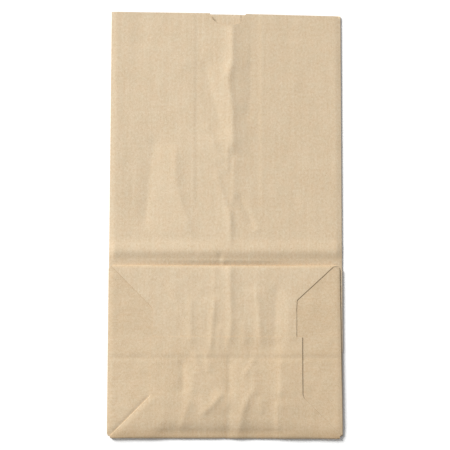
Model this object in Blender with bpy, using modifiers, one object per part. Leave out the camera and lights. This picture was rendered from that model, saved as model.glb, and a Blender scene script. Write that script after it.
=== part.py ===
"""Brown paper lunch bag, folded flat: one glued tube of kraft paper with a folded-up block bottom."""

import math

import bpy
from mathutils import Vector
from mathutils.geometry import delaunay_2d_cdt

for old in list(bpy.data.objects):
    bpy.data.objects.remove(old, do_unlink=True)

# Sizes in metres. The bag lies on its back panel, mouth toward +Y.
BAG_WIDTH = 0.1524
BOTTOM_DEPTH = 0.1127
LENGTH_LEFT = 0.2799
LENGTH_RIGHT = 0.2771
PAPER = 0.00012
PLY_PITCH = 0.0003
STRIP_WIDTH = 0.0270
FRONT_FLAP = 0.0650
BACK_FLAP = 0.0655
SEAM_START = 0.0003
SEAM_LAP = 0.0095
SEAM_PITCH = 0.0002
SEAM_RAMP = 0.0050
NOTCH_WIDTH = 0.0240
NOTCH_DEPTH = 0.0084
NOTCH_OFFSET = 0.0013
ROLL_REACH = 0.0021
ROLL_RISE = 0.0007
SHOULDER_HEIGHT = 0.0005
SHOULDER_REACH = 0.0070
RIDGE_HEIGHT = 0.0004
CORNER_GAP_LEFT = 0.0024
CORNER_GAP_RIGHT = 0.0042
STEPS = 6

HALF = (BAG_WIDTH - PAPER) / 2
GUSSET = BOTTOM_DEPTH / 2
DEPTH = BOTTOM_DEPTH
SIDE_INSET = 0.6 * PLY_PITCH
TURN_INSET = 1.5 * PLY_PITCH
SEAM_LOW = SEAM_START - SEAM_RAMP - 0.0020
SEAM_HIGH = SEAM_START + SEAM_LAP + SEAM_RAMP + 0.0020

# Each face of the folded sheet: its place in the stack, flat sheet to folded place, and back again.
PLY = {
    "back": 0, "gusset_back": 1, "gusset_front": 2, "front": 3, "turned_front": 4, "turned_gusset": 5,
    "end_triangle": 6, "side_strip": 7, "corner_front": 8, "corner_back": 8, "front_flap": 9, "back_flap": 10,
}
FOLD = {
    "front": lambda u, v: (u, v),
    "turned_front": lambda u, v: (u, DEPTH - v),
    "front_flap": lambda u, v: (u, DEPTH + v),
    "gusset_front": lambda u, v: (2 * HALF - u, v),
    "turned_gusset": lambda u, v: (2 * HALF - u, DEPTH - v),
    "gusset_back": lambda u, v: (u - DEPTH, v),
    "end_triangle": lambda u, v: (HALF - v, HALF + DEPTH - u),
    "side_strip": lambda u, v: (HALF + v, HALF + DEPTH - u),
    "corner_front": lambda u, v: (HALF + v, DEPTH - HALF + u),
    "corner_back": lambda u, v: (HALF + v, u - HALF - DEPTH),
    "back": lambda u, v: (2 * HALF + DEPTH - u, v),
    "back_flap": lambda u, v: (2 * HALF + DEPTH - u, -v),
}
UNFOLD = {
    "front": lambda x, y: (x, y),
    "turned_front": lambda x, y: (x, DEPTH - y),
    "front_flap": lambda x, y: (x, y - DEPTH),
    "gusset_front": lambda x, y: (2 * HALF - x, y),
    "turned_gusset": lambda x, y: (2 * HALF - x, DEPTH - y),
    "gusset_back": lambda x, y: (x + DEPTH, y),
    "end_triangle": lambda x, y: (HALF + DEPTH - y, HALF - x),
    "side_strip": lambda x, y: (HALF + DEPTH - y, x - HALF),
    "corner_front": lambda x, y: (HALF - DEPTH + y, x - HALF),
    "corner_back": lambda x, y: (HALF + DEPTH + y, x - HALF),
    "back": lambda x, y: (2 * HALF + DEPTH - x, y),
    "back_flap": lambda x, y: (2 * HALF + DEPTH - x, -y),
}

sheet = []
folded = []
kept = []
holes = []


def ease(value):
    value = min(max(value, 0.0), 1.0)
    return value * value * (3 - 2 * value)


def mouth(x):
    """How far up the bag the mouth is cut: the cut is slightly askew."""
    middle = (LENGTH_LEFT + LENGTH_RIGHT) / 2
    return middle - PAPER / 2 + (LENGTH_RIGHT - LENGTH_LEFT) * x / (2 * HALF)


def height(face, side, x, y):
    """Mid height of the paper of one face at a folded place."""
    across = side * x
    rise = PAPER / 2 + PLY_PITCH * PLY[face]
    if face == "back" and side < 0:
        rise += SEAM_PITCH * ease((across - SEAM_LOW) / SEAM_RAMP)
    if face == "back_flap":
        if side > 0:
            rise += SEAM_PITCH * ease((SEAM_HIGH - across) / SEAM_RAMP)
        rise += ROLL_RISE * ease(1 - y / 0.045) * ease((HALF - abs(across)) / 0.03)
    if face == "front" and y > DEPTH:
        near = (y - DEPTH - 0.0095) / SHOULDER_REACH
        rise += SHOULDER_HEIGHT * ease(1 - abs(near)) * ease((HALF - abs(across)) / 0.01)
        ridge = ease(1 - abs(across - 0.005) / 0.009) * ease((y - DEPTH - 0.03) / 0.04)
        rise += RIDGE_HEIGHT * ridge
    return rise


def add(side, place, spot, rise):
    sheet.append(Vector((1000 * side * place[0], 1000 * place[1])))
    folded.append(Vector((side * spot[0], spot[1], rise)))
    return len(sheet) - 1


def chain(run):
    for one, two in zip(run, run[1:]):
        kept.append((one, two))


def spread(start, end, most):
    """Distances from start to end, no two further apart than most."""
    count = max(1, math.ceil((end - start) / most))
    return [start + (end - start) * k / count for k in range(count + 1)]


def bend(side, start, end, stops, lower, upper, inset, reach=None, first=None):
    """Rows of points round one crease. The lower face is right of the way from start to end."""
    start, end = Vector(start), Vector(end)
    along = (end - start).normalized()
    across = Vector((-along.y, along.x))
    rows = [first] if first else []
    for stop in stops[len(rows):]:
        wide = inset(stop) if callable(inset) else inset
        place = start + along * stop
        base = Vector(FOLD[lower](*(place - across * wide)))
        out = (Vector(FOLD[lower](*place)) - base).normalized()
        low = height(lower, side, *base)
        high = height(upper, side, *base)
        push = reach(stop) if callable(reach) else reach or wide
        row = []
        for step in range(STEPS + 1):
            turn = math.pi * step / STEPS
            spot = base + out * push * math.sin(turn)
            rise = (low + high) / 2 - (high - low) / 2 * math.cos(turn)
            row.append(add(side, place + across * wide * (2 * step / STEPS - 1), spot, rise))
        rows.append(row)
    for step in range(STEPS + 1):
        chain([row[step] for row in rows])
    return rows


def turned_row(u):
    """One row of points round the fold across the tube, where front and gussets turn back together."""
    side = 1 if u >= 0 else -1
    u = abs(u)
    level = GUSSET + TURN_INSET
    edge = HALF - SIDE_INSET
    x = u
    front = height("front", side, min(x, edge), level)
    middle = (front + height("turned_front", side, min(x, edge), level)) / 2
    rise = front
    if u > HALF + SIDE_INSET - 1e-7:
        x = 2 * HALF - u
        middle = (height("gusset_front", side, x, level) + height("turned_gusset", side, x, level)) / 2
        rise = height("gusset_front", side, x, level)
    elif u > edge:
        turn = math.pi * (u - edge) / (2 * SIDE_INSET)
        inner = height("gusset_front", side, edge, level)
        x = edge + SIDE_INSET * math.sin(turn)
        rise = (front + inner) / 2 + (front - inner) / 2 * math.cos(turn)
    row = []
    for step in range(STEPS + 1):
        turn = math.pi * step / STEPS
        spot = (x, level - (middle - rise) * math.sin(turn))
        v = GUSSET + TURN_INSET * (1 - 2 * step / STEPS)
        row.append(add(side, (u, v), spot, middle - (middle - rise) * math.cos(turn)))
    return row


def hole(side, centre, ends):
    """A small relief hole where creases meet: its rim runs over the ends of their bends."""
    centre = Vector((1000 * side * centre[0], 1000 * centre[1]))
    order = []
    for end in ends:
        middle = sum((sheet[index] for index in end), Vector((0, 0))) / len(end) - centre
        bearing = math.atan2(middle.y, middle.x)
        facing = Vector((math.cos(bearing), math.sin(bearing)))
        turn = lambda index: facing.cross(sheet[index] - centre) / facing.dot(sheet[index] - centre)
        order.append((bearing, sorted(end, key=turn)))
    rim = [index for bearing, end in sorted(order) for index in end]
    chain(rim + rim[:1])
    holes.append([sheet[index] for index in rim])


def run(side, face, *places, most=0.014):
    """Points along a cut edge of one face through folded places, the first and the last left out."""
    places = [Vector(place) for place in places]
    spots = []
    for one, two in zip(places, places[1:]):
        stops = spread(0, (two - one).length, most)[:-1]
        spots += [one + (two - one).normalized() * stop for stop in stops]
    return [add(side, UNFOLD[face](*spot), spot, height(face, side, *spot)) for spot in spots[1:]]


def corner(side, face, x, y):
    return add(side, UNFOLD[face](x, y), (x, y), height(face, side, x, y))


def mouth_run(side, face, *across):
    return run(side, face, *[(x, mouth(side * x)) for x in across])


def fill(side, face, outline, xs, ys, clear):
    """Points inside one face, on the shared lines, clear of its edges."""
    shape = [Vector(point) for point in outline]
    for x in xs:
        for y in ys:
            spot = Vector((x, y))
            inside = True
            for one, two in zip(shape, shape[1:] + shape[:1]):
                way = (two - one).normalized()
                if way.cross(spot - one) < clear:
                    inside = False
            if inside:
                add(side, UNFOLD[face](x, y), spot, height(face, side, x, y))


rows_up = spread(DEPTH, LENGTH_RIGHT, 0.028)


def found(side, face, x, y):
    """The point already placed there."""
    u, v = UNFOLD[face](x, y)
    want = Vector((1000 * side * u, 1000 * v))
    return min(range(len(sheet)), key=lambda index: (sheet[index] - want).length_squared)


def crease_line(side, face, x, start, end, ys):
    """Keeps a straight row of points along the bag, so that the seam's step stays sharp."""
    row = [corner(side, face, x, y) for y in ys]
    chain([found(side, face, x, start)] + row + [found(side, face, x, end)])


side_lines = {1: [0.005, SEAM_HIGH - SEAM_RAMP, SEAM_HIGH, 0.029, 0.042, 0.055, 0.068],
              -1: [-0.005, -SEAM_LOW - SEAM_RAMP, -SEAM_LOW, 0.017, 0.029, 0.042, 0.055, 0.068]}
upper_lines = [0.118, 0.1222, 0.1265, 0.131, 0.142, 0.162, 0.182, 0.202, 0.226, 0.250]

# The fold across the tube, from one gusset apex to the other.
apex_gap = 0.0022
side_columns = [HALF + SIDE_INSET * (1 - 2 * step / STEPS) for step in range(STEPS + 1)]
half_columns = spread(HALF + SIDE_INSET, HALF + GUSSET - apex_gap, 0.018)[:0:-1] + side_columns
half_columns += spread(0, HALF - SIDE_INSET, 0.018)[-2:0:-1]
turned = {u: turned_row(u) for u in half_columns + [0.0] + [-u for u in reversed(half_columns)]}
for step in range(STEPS + 1):
    chain([row[step] for row in turned.values()])

outline = {}
flap_ends = {}
for side in (1, -1):
    gap = CORNER_GAP_RIGHT if side > 0 else CORNER_GAP_LEFT
    columns = [turned[side * u] for u in side_columns]
    corner_f = (HALF, 0)
    corner_b = (HALF + DEPTH, 0)
    apex = (HALF + GUSSET, GUSSET)
    seam_end = SEAM_START if side > 0 else -(SEAM_START + SEAM_LAP)
    side_top = mouth(side * (HALF - SIDE_INSET))
    inner_top = mouth(side * (HALF - GUSSET + SIDE_INSET))
    long_stops = [GUSSET + TURN_INSET, 0.075, 0.094] + rows_up[:-1]

    front_edge = bend(side, corner_f, (HALF, 1), long_stops + [side_top], "gusset_front", "front", SIDE_INSET,
                      first=[row[0] for row in columns])
    turned_edge = bend(side, (HALF, GUSSET - TURN_INSET), corner_f,
                       spread(0, GUSSET - TURN_INSET - 0.0022, 0.018), "turned_front", "turned_gusset", SIDE_INSET,
                       first=[row[-1] for row in reversed(columns)])
    inner_edge = bend(side, apex, (HALF + GUSSET, 1), [apex_gap, 0.02, 0.04] +
                      [stop - GUSSET for stop in rows_up[:-1]] + [inner_top - GUSSET],
                      "gusset_back", "gusset_front", SIDE_INSET)
    back_edge = bend(side, (HALF + DEPTH, 1), corner_b, [1 - side_top] +
                     [1 - stop for stop in rows_up[-2::-1]] + [1 - 0.094, 1 - 0.075, 1 - 0.057, 1 - 0.04,
                      1 - 0.02, 1 - 0.0028], "gusset_back", "back", SIDE_INSET)
    slant = GUSSET * math.sqrt(2)
    upper_slant = bend(side, apex, corner_f, spread(apex_gap, slant - 0.0022, 0.018),
                       "turned_gusset", "end_triangle", SIDE_INSET)
    lower_slant = bend(side, corner_b, apex, spread(0.0028, slant - apex_gap, 0.018),
                       "gusset_back", "end_triangle", 0.0008)
    strip_edge = bend(side, corner_b, corner_f, spread(0.0028, DEPTH - 0.0022, 0.018),
                      "end_triangle", "side_strip", SIDE_INSET)
    strip_front = bend(side, (HALF, -STRIP_WIDTH), corner_f, spread(0, STRIP_WIDTH - 0.0022, 0.013),
                       "side_strip", "corner_front", 0.0005, reach=SIDE_INSET)
    strip_back = bend(side, corner_b, (HALF + DEPTH, -1), spread(0.0030, STRIP_WIDTH, 0.013),
                      "side_strip", "corner_back", 0.0011, reach=SIDE_INSET)
    short = STRIP_WIDTH * math.sqrt(2) - 0.0002
    corner_slant_f = bend(side, (HALF - STRIP_WIDTH, -STRIP_WIDTH), corner_f, spread(0.0002, short - 0.0022, 0.013),
                          "corner_front", "front_flap", 0.0002)
    end_b = (HALF + DEPTH + STRIP_WIDTH, -STRIP_WIDTH)
    corner_slant_b = bend(side, corner_b, end_b, spread(0.0034, short - 0.0002, 0.013),
                          "corner_back", "back_flap", 0.0004)
    seam_u = 2 * HALF + DEPTH - seam_end
    last_lines = side_lines[side][2::-1]
    roll_stops = spread(0.0030, HALF - last_lines[0], 0.012)[:-1] + [HALF - x for x in last_lines + [seam_end]]
    nested = lambda stop: ROLL_REACH - SEAM_PITCH * ease((stop - HALF - SEAM_LOW) / SEAM_RAMP)
    roll = bend(side, corner_b, (seam_u, 0), roll_stops, "back_flap", "back", ROLL_REACH,
                reach=None if side > 0 else nested)

    hole(side, apex, [turned[side * half_columns[0]], inner_edge[0], upper_slant[0], lower_slant[-1]])
    flap_ends[side] = [turned_edge[-1], upper_slant[-1], strip_edge[-1], strip_front[-1], corner_slant_f[-1]]
    hole(side, corner_b, [back_edge[-1], lower_slant[0], strip_edge[0], strip_back[0], corner_slant_b[0], roll[0]])

    mouth_start = (NOTCH_OFFSET * side + NOTCH_WIDTH / 2)
    edge = [corner(side, "front", mouth_start, mouth(side * mouth_start))]
    edge += mouth_run(side, "front", mouth_start, HALF - SIDE_INSET)
    edge += front_edge[-1][::-1]
    edge += mouth_run(side, "gusset_front", HALF - SIDE_INSET, HALF - GUSSET + SIDE_INSET)
    edge += inner_edge[-1][::-1]
    edge += mouth_run(side, "gusset_back", HALF - GUSSET + SIDE_INSET, HALF - SIDE_INSET)
    edge += back_edge[0]
    edge += mouth_run(side, "back", HALF - SIDE_INSET, *last_lines, seam_end)
    edge += [corner(side, "back", seam_end, mouth(side * seam_end))]
    edge += run(side, "back", (seam_end, mouth(side * seam_end)), (seam_end, ROLL_REACH), most=0.03)
    edge += roll[-1][::-1]
    edge += run(side, "back_flap", (seam_end, ROLL_REACH), (seam_end, BACK_FLAP))
    edge += [corner(side, "back_flap", seam_end, BACK_FLAP)]
    edge += run(side, "back_flap", *[(x, BACK_FLAP) for x in [seam_end] + last_lines[::-1] + [HALF - STRIP_WIDTH]])
    edge += [corner(side, "back_flap", HALF - STRIP_WIDTH, BACK_FLAP)]
    edge += run(side, "back_flap", (HALF - STRIP_WIDTH, BACK_FLAP), (HALF - STRIP_WIDTH, STRIP_WIDTH))
    edge += corner_slant_b[-1][::-1]
    edge += run(side, "corner_back", (HALF - STRIP_WIDTH, STRIP_WIDTH), (HALF - STRIP_WIDTH, 0.0011))
    edge += strip_back[-1][::-1]
    edge += run(side, "side_strip", (HALF - STRIP_WIDTH, 0.0011), (HALF - STRIP_WIDTH, DEPTH - 0.0005))
    edge += strip_front[0]
    edge += run(side, "corner_front", (HALF - STRIP_WIDTH, DEPTH - 0.0005), (HALF - STRIP_WIDTH, DEPTH - STRIP_WIDTH))
    edge += corner_slant_f[0]
    low = DEPTH - FRONT_FLAP
    edge += run(side, "front_flap", (HALF - STRIP_WIDTH, DEPTH - STRIP_WIDTH), (HALF - STRIP_WIDTH, low))
    edge += [corner(side, "front_flap", HALF - STRIP_WIDTH, low)]
    edge += run(side, "front_flap", (HALF - STRIP_WIDTH, low), (0, low))
    outline[side] = edge

    for x in last_lines[:2]:
        if side < 0:
            crease_line(side, "back", x, ROLL_REACH, mouth(side * x), [0.012, 0.06, 0.12, 0.2])
        else:
            crease_line(side, "back_flap", x, ROLL_REACH, BACK_FLAP, [0.008, 0.016, 0.026, 0.038, 0.052])
    top = 0.272
    fill(side, "back", [(HALF, 0), (HALF, top), (seam_end, top), (seam_end, 0)],
         side_lines[side][3:], [0.012, 0.06, 0.12, 0.2], 0.003)
    fill(side, "back_flap", [(HALF, 0), (HALF - STRIP_WIDTH, STRIP_WIDTH), (HALF - STRIP_WIDTH, BACK_FLAP),
                             (seam_end, BACK_FLAP), (seam_end, 0)],
         side_lines[side][3:], [0.008, 0.016, 0.026, 0.038, 0.052], 0.003)

# The front panel and what hangs from its foot run from side to side.
foot = bend(1, (-HALF, 0), (HALF, 0), spread(CORNER_GAP_LEFT, 2 * HALF - CORNER_GAP_RIGHT, 0.0125),
            "front_flap", "turned_front", 0.0008)
hole(1, (HALF, 0), flap_ends[1] + [foot[-1]])
hole(-1, (HALF, 0), flap_ends[-1] + [foot[0]])

arc = []
for step in range(1, 16):
    angle = math.pi * step / 16
    x = NOTCH_OFFSET - NOTCH_WIDTH / 2 * math.cos(angle)
    y = mouth(x) - NOTCH_DEPTH * math.sin(angle)
    arc.append(add(1, (x, y), (x, y), height("front", 1, x, y)))
low_middle = corner(1, "front_flap", 0.0, DEPTH - FRONT_FLAP)
loop = outline[-1][::-1] + arc + outline[1] + [low_middle]
chain(loop + loop[:1])

both_lines = [-0.068, -0.055, -0.042, -0.029, -0.016, -0.004, 0.0005, 0.005, 0.0095, 0.014, 0.029, 0.042, 0.055, 0.068]
fill(1, "front", [(-HALF, DEPTH), (HALF, DEPTH), (HALF, 0.262), (-HALF, 0.262)], both_lines, upper_lines, 0.0035)
fill(1, "front_flap", [(-HALF, DEPTH), (-HALF + STRIP_WIDTH, DEPTH - STRIP_WIDTH), (-HALF + STRIP_WIDTH, 0.049),
                       (HALF - STRIP_WIDTH, 0.049), (HALF - STRIP_WIDTH, DEPTH - STRIP_WIDTH), (HALF, DEPTH)],
     both_lines, [0.060, 0.078, 0.096], 0.004)


def inside(shape, point):
    within = False
    for one, two in zip(shape, shape[1:] + shape[:1]):
        if (one.y > point.y) != (two.y > point.y):
            cut = one.x + (two.x - one.x) * (point.y - one.y) / (two.y - one.y)
            if cut > point.x:
                within = not within
    return within


places, edges, faces, sources, _, _ = delaunay_2d_cdt(sheet, kept, [], 1, 1e-6, True)
spots = [folded[source[0]] if source else None for source in sources]
rim = [sheet[index] for index in loop]
solid_faces = []
for face in faces:
    middle = (places[face[0]] + places[face[1]] + places[face[2]]) / 3
    if inside(rim, middle) and not any(inside(shape, middle) for shape in holes):
        solid_faces.append(face)

used = sorted({index for face in solid_faces for index in face})
renumber = {index: number for number, index in enumerate(used)}
top_y = max(spots[index].y for index in used)
middle_y = (top_y - PAPER / 2) / 2
mesh = bpy.data.meshes.new("paper_bag")
mesh.from_pydata([spots[index] - Vector((0, middle_y, 0)) for index in used], [],
                 [[renumber[index] for index in face] for face in solid_faces])
kraft = bpy.data.materials.new("kraft_paper")
kraft.use_nodes = True
shader = kraft.node_tree.nodes["Principled BSDF"]
shader.inputs["Base Color"].default_value = (0.66, 0.50, 0.33, 1)
shader.inputs["Roughness"].default_value = 0.85
mesh.materials.append(kraft)
bag = bpy.data.objects.new("paper_bag", mesh)
collection = bpy.data.collections.new("paper_lunch_bag")
bpy.context.scene.collection.children.link(collection)
collection.objects.link(bag)
thicken = bag.modifiers.new("paper", "SOLIDIFY")
thicken.thickness = PAPER
thicken.offset = 0.0
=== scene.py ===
"""Looks of the brown paper lunch bag: one sheet of kraft paper, folded flat and lying on its back."""

import math

import bpy
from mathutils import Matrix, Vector, noise
from mathutils.geometry import delaunay_2d_cdt


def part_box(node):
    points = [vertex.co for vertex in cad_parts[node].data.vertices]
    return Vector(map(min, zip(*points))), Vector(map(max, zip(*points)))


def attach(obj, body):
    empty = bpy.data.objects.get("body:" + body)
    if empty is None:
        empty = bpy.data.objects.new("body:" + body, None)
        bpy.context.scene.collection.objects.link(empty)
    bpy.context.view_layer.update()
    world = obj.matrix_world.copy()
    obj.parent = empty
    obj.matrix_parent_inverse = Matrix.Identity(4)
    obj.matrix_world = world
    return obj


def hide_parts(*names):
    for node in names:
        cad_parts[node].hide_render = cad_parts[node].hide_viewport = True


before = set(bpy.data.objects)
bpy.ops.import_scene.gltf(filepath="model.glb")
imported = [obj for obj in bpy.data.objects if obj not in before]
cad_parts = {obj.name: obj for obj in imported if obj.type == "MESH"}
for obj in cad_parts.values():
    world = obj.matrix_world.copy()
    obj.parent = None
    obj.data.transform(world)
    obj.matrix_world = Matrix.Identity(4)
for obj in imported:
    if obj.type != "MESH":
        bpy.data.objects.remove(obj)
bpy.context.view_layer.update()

MM = 0.001
FLAT_SCALE = 1000
UV_SCALE = 100
DIAGONAL = math.sqrt(2)
DIAGONAL_ROUNDED = 1.414

# Sizes of the bag in metres. It lies on its back panel, mouth toward +Y, and 1 stands for its right side.
low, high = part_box("paper_bag")
BAG_WIDTH = high[0] - low[0]
BOTTOM_DEPTH = 0.1118
LENGTH_LEFT = high[1] - low[1]
MOUTH_ASKEW = 0.0028
LENGTH_RIGHT = LENGTH_LEFT - MOUTH_ASKEW
PAPER = 0.00012
FRONT_STRIP = {1: 0.0300, -1: 0.0292}
BACK_STRIP = {1: 0.0263, -1: 0.0280}
FRONT_FLAP = 0.0650
BACK_FLAP = 0.0655
SEAM_START = 0.0003
SEAM_LAP = 0.0095
SEAM_PITCH = 0.0002
SEAM_RAMP = 0.0050
SEAM_MARGIN = 0.0020
TOOTH_PITCH = 0.0022
TOOTH_DEPTH = 0.0003
TOOTH_END = 0.3

# The thumb cut has nearly upright sides and a flat bottom: millimetres across and below the mouth.
NOTCH_OFFSET = 0.0013
NOTCH_WIDTH = 0.0240
NOTCH_SHAPE = [(-11.2, 2.1), (-10.2, 3.8), (-8.9, 5.2), (-7.3, 6.6), (-5.4, 7.4), (-2.8, 7.9), (0.0, 8.2),
               (2.6, 8.1), (4.9, 7.6), (7.0, 6.8), (8.6, 5.4), (9.7, 3.9), (10.8, 1.9)]
NOTCH_CLEAR_ACROSS = 0.0132
NOTCH_CLEAR_DOWN = 0.0095

HALF = (BAG_WIDTH - PAPER) / 2
DEPTH = BOTTOM_DEPTH
GUSSET = DEPTH / 2
SEAM_LOW = SEAM_START - SEAM_RAMP - SEAM_MARGIN
SEAM_HIGH = SEAM_START + SEAM_LAP + SEAM_RAMP + SEAM_MARGIN
SEAM_END = {1: SEAM_START, -1: -(SEAM_START + SEAM_LAP)}

# Where the seam's step begins and ends on each side, and a last place before the sheet's cut edge.
SEAM_LINES = {1: [SEAM_HIGH, SEAM_HIGH - SEAM_RAMP, 0.005], -1: [-SEAM_LOW, -SEAM_LOW - SEAM_RAMP, -0.005]}

# Half the width of paper in each kind of crease, and how far the crease stands out where that differs.
STEPS = 8
SIDE_INSET = 0.00018
TURN_INSET = 0.00045
LOWER_SLANT_INSET = 0.0008
STRIP_FRONT_INSET = 0.0005
STRIP_BACK_INSET = 0.0011
CORNER_BACK_INSET = 0.0005
CORNER_BACK_REACH = {1: 0.0013, -1: 0.0004}
CORNER_FRONT_REACH = 0.0003
# Painted shade darkens the middle of the front corner's crease by this share.
CORNER_FRONT_CREASE_SHADE = 0.35
FOOT_INSET = 0.0006
FOOT_REACH = 0.00022
# Painted shade darkens the middle of the foot's crease by this share.
FOOT_CREASE_SHADE = 0.3
# Width of the painted shade along a crease's middle, as a share of the crease.
CREASE_SHADE_WIDTH = 0.25

# The rolled foot of the back: tight at the corners, wide in the middle.
ROLL_REACH_END = 0.0008
ROLL_REACH_MIDDLE = 0.0042
ROLL_GROWS_FROM = 0.003
ROLL_GROWS_OVER = 0.030

# The bottom's right side is folded a little inside its corners: start and end of its front corner's fold.
FOLDED_SHORT = (0.0054, 0.0035)
SHORT_START = 0.0003
SHORT_SLOPE = 0.9
STRIP_IN_START = 0.0003
STRIP_IN_MORE = 0.0014
LEFT_SLANT_INSET = 0.0005
LEFT_SLANT_MORE = 0.0004
LEFT_SLANT_GROWS = 0.004

# How far each crease stops before the place where creases meet.
APEX_GAP = 0.0022
FRONT_GAP = 0.0026
BACK_GAP = 0.0028
BACK_EDGE_GAP = 0.0016
STRIP_BACK_GAP = 0.0022
ROLL_GAP = 0.0020
SLANT_BACK_GAP = 0.0005
SLANT_START = {1: 0.0004, -1: 0.0005}
SLANT_GAP = {1: 0.0052, -1: 0.0030}
FOOT_GAP_LEFT = 0.0024
FOOT_GAP_RIGHT = 0.0046

# The strip's inner end reaches this far under the flaps.
STRIP_UNDER = 0.0014
STRIP_UNDER_START = 0.006

# Distances between rows of points, and between the points inside a face.
FINE = 0.0020
SLANT_FINE = 0.0008
SLANT_FINE_END = 0.0060
FRONT_EDGE_PITCH = 0.0024
HIDDEN_EDGE_PITCH = 0.004
HIDDEN_SLANT_PITCH = 0.006
INNER_EDGE_PITCH = 0.008
SEAM_EDGE_PITCH = 0.01
CUT_EDGE_PITCH = 0.0025
FAR = 1
HIDDEN = 0.0045
SHOWN = 0.00120

# Limits in millimetres of the flat sheet, a sharp edge's angle in degrees, and a slack in metres.
LONGEST_EDGE = 15
SAME_PLACE = 1e-6
PAST_MOUTH = 2
SHARP_ANGLE = 60
SLACK = 1e-7

# Points inside each face: their pitch and how far they stay clear of its edges.
GRID = {
    "front": (SHOWN, 0.0010), "front_flap": (SHOWN, 0.0013), "back_flap": (SHOWN, 0.0011),
    "side_strip": (SHOWN, 0.0021), "corner_front": (0.002, 0.0016), "corner_back": (0.002, 0.0018),
    "back": (0.0036, 0.0022), "hidden": (HIDDEN, 0.003), "turned_front": (HIDDEN, 0.004),
}
SEAM_LINE_CLEAR = 0.0007

# Rows of points along the seam's step, on the back and on the back flap.
BACK_LINE_START = 0.010
BACK_LINE_END = 0.268
BACK_LINE_PITCH = 0.006
FLAP_LINE_START = 0.0062
FLAP_LINE_END = 0.0635

# Room for the rolled foot, and where the side strip and the back flap are filled from.
ROLL_CLEAR = 0.0008
STRIP_CLEAR = 0.003
FLAP_FOOT = 0.0038

# Each face of the folded sheet: its place in the stack, flat sheet to folded place, and back again.
LEVEL = {
    "back": 0.0, "gusset_back": 0.00030, "gusset_front": 0.00060, "front": 0.00090, "turned_front": 0.00125,
    "turned_gusset": 0.00160, "end_triangle": 0.00195, "side_strip": 0.00230, "corner_front": 0.00245,
    "corner_back": 0.00245, "front_flap": 0.00260, "back_flap": 0.00276,
}
FOLD = {
    "front": lambda u, v: (u, v),
    "turned_front": lambda u, v: (u, DEPTH - v),
    "front_flap": lambda u, v: (u, DEPTH + v),
    "gusset_front": lambda u, v: (2 * HALF - u, v),
    "turned_gusset": lambda u, v: (2 * HALF - u, DEPTH - v),
    "gusset_back": lambda u, v: (u - DEPTH, v),
    "end_triangle": lambda u, v: (HALF - v, HALF + DEPTH - u),
    "side_strip": lambda u, v: (HALF + v, HALF + DEPTH - u),
    "corner_front": lambda u, v: (HALF + v, DEPTH - HALF + u),
    "corner_back": lambda u, v: (HALF + v, u - HALF - DEPTH),
    "back": lambda u, v: (2 * HALF + DEPTH - u, v),
    "back_flap": lambda u, v: (2 * HALF + DEPTH - u, -v),
}
UNFOLD = {
    "front": lambda x, y: (x, y),
    "turned_front": lambda x, y: (x, DEPTH - y),
    "front_flap": lambda x, y: (x, y - DEPTH),
    "gusset_front": lambda x, y: (2 * HALF - x, y),
    "turned_gusset": lambda x, y: (2 * HALF - x, DEPTH - y),
    "gusset_back": lambda x, y: (x + DEPTH, y),
    "end_triangle": lambda x, y: (HALF + DEPTH - y, HALF - x),
    "side_strip": lambda x, y: (HALF + DEPTH - y, x - HALF),
    "corner_front": lambda x, y: (HALF - DEPTH + y, x - HALF),
    "corner_back": lambda x, y: (HALF + DEPTH + y, x - HALF),
    "back": lambda x, y: (2 * HALF + DEPTH - x, y),
    "back_flap": lambda x, y: (2 * HALF + DEPTH - x, -y),
}

# Wrinkles, in millimetres from the middle of the bag's foot. Each is a crest, as places along it, then
# its height and how far its left and right flanks reach. A height under 0 is a valley.
UPPER_WRINKLES = {
    "ridge_below_notch": ([(4.3, 285), (4.3, 245), (3.0, 239)], 0.80, 3.8, 4.8),
    "pinch": ([(2.6, 246), (1.8, 232), (3.4, 222), (4.4, 212), (4.5, 190), (3.6, 184)], 1.15, 8.5, 7.5),
    "pinch_foot": ([(-15.0, 248), (-10.5, 228), (-4.5, 207), (0.5, 196)], -0.50, 15.0, 3.6),
    "pinch_tail": ([(15.5, 246), (16.8, 226), (13.5, 206)], -0.32, 4.2, 15.0),
    "left_of_ridge": ([(-13.5, 206), (-6.0, 188), (-0.8, 178)], 0.34, 8.5, 2.2),
    "short_cut": ([(1.2, 191), (1.4, 172)], 0.26, 3.0, 1.1),
    "ridge_thin": ([(5.4, 183), (5.2, 160), (4.2, 150)], 0.30, 1.8, 5.5),
    "long_slant": ([(-6.0, 174), (-2.5, 160), (2.6, 145), (4.0, 134)], 0.32, 5.0, 1.4),
    "slant_valley": ([(8.5, 158), (18.5, 136.5)], -0.46, 2.8, 1.8),
    "slant_end": ([(19.7, 135.5), (20.2, 133.5)], 0.22, 1.4, 1.8),
    "foot_ridge": ([(3.2, 150), (3.4, 124)], 0.36, 4.0, 1.9),
    "left_crest": ([(-33.5, 192), (-32.6, 167), (-29.2, 152.5), (-25.0, 141), (-21.5, 132)], 0.62, 11.0, 5.0),
    "edge_valley": ([(-47.0, 198), (-50.0, 170), (-53.0, 134)], -0.62, 9.0, 8.5),
    "top_left": ([(-58.0, 279), (-56.0, 255)], -0.22, 8.0, 12.0),
    "right_faint": ([(46, 262), (45, 225)], 0.16, 7.0, 16.0),
    "right_low": ([(58, 180), (57, 140)], 0.14, 9.0, 12.0),
}
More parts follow.
